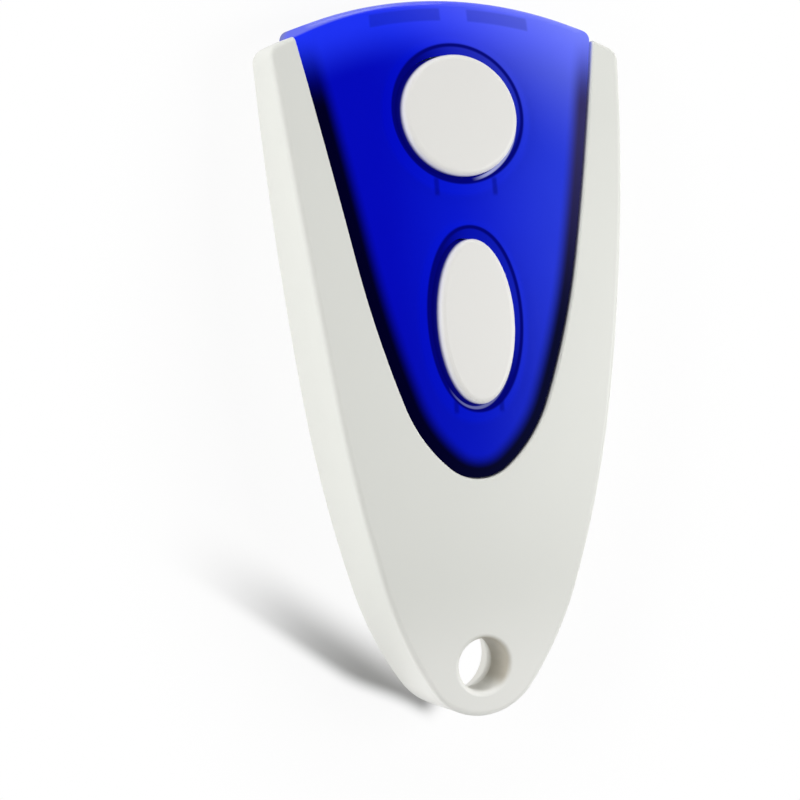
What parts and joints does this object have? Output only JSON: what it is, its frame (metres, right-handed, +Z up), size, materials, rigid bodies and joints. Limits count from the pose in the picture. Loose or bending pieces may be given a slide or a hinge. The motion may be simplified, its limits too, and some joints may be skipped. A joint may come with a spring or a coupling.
{
  "type": "garage door remote",
  "caption": "Drop-shaped keyring remote for a garage door: white housing, glossy blue front cover, a round and an oval push button, and a keyring hole in the narrow end.",
  "frame": {"origin": "centre of the bounding box in plan, on the plane the flat back rests on", "axes": "+X across to the right as the buttons face the viewer, +Y along from the keyring tip to the wide blue end, +Z up from the flat back through the buttons"},
  "size_m": [0.0372, 0.0702, 0.0115],
  "materials": {
    "housing_white": "satin off-white moulding",
    "cover_blue": "glossy translucent blue",
    "button_white": "satin off-white moulding",
    "board_green": "solder mask over laminate",
    "track_copper": "tinned copper",
    "cell_steel": "nickel plated",
    "contact_metal": "nickel plated brass",
    "clip_metal": "spring steel, plated",
    "chip_black": "moulded epoxy",
    "can_metal": "plated lid on a ceramic base",
    "lamp_lens": "clear red lens",
    "resistor_black": "glazed film on ceramic",
    "capacitor_tan": "bare ceramic",
    "screw_steel": "zinc plated",
    "trimmer_ceramic": "ceramic",
    "trimmer_brass": "turned brass",
    "switch_black": "moulded",
    "switch_steel": "tinned plate"
  },
  "bodies": {
    "housing": {"front_shell": "housing_white", "rear_cover": "housing_white", "blue_cover": "cover_blue", "circuit_board": "board_green", "antenna_track": "track_copper", "coin_cell": "cell_steel", "battery_contact": "contact_metal", "battery_clip": "clip_metal", "encoder_chip": "chip_black", "transmitter_chip": "chip_black", "saw_resonator": "can_metal", "crystal": "can_metal", "transistor": "chip_black", "indicator_lamp": "lamp_lens", "chip_resistors": "resistor_black", "chip_capacitors": "capacitor_tan", "housing_screws": "screw_steel", "trimmer_base": "trimmer_ceramic", "trimmer_rotor": "trimmer_brass", "round_switch_base": "switch_black", "round_switch_dome": "switch_steel", "round_switch_frame": "switch_steel", "oval_switch_base": "switch_black", "oval_switch_dome": "switch_steel", "oval_switch_frame": "switch_steel"},
    "round_button": {"round_button": "button_white"},
    "round_plunger": {"round_switch_plunger": "switch_black"},
    "oval_button": {"oval_button": "button_white"},
    "oval_plunger": {"oval_switch_plunger": "switch_black"}
  },
  "joints": [
    {"name": "round_button_press", "type": "slide", "parent": "housing", "child": "round_button", "axis": [0, 0, -1], "range_m": [0, 0.0003], "stiffness_N_per_m": 5000},
    {"name": "round_plunger_press", "type": "slide", "parent": "housing", "child": "round_plunger", "axis": [0, 0, -1], "range_m": [0, 0.0003], "deforming": ["round_switch_dome"]},
    {"name": "oval_button_press", "type": "slide", "parent": "housing", "child": "oval_button", "axis": [0, 0, -1], "range_m": [0, 0.0003], "stiffness_N_per_m": 5000},
    {"name": "oval_plunger_press", "type": "slide", "parent": "housing", "child": "oval_plunger", "axis": [0, 0, -1], "range_m": [0, 0.0003], "deforming": ["oval_switch_dome"]}
  ],
  "couplings": [
    {"joint": "round_plunger_press", "follows": "round_button_press", "ratio": 1},
    {"joint": "oval_plunger_press", "follows": "oval_button_press", "ratio": 1}
  ]
}
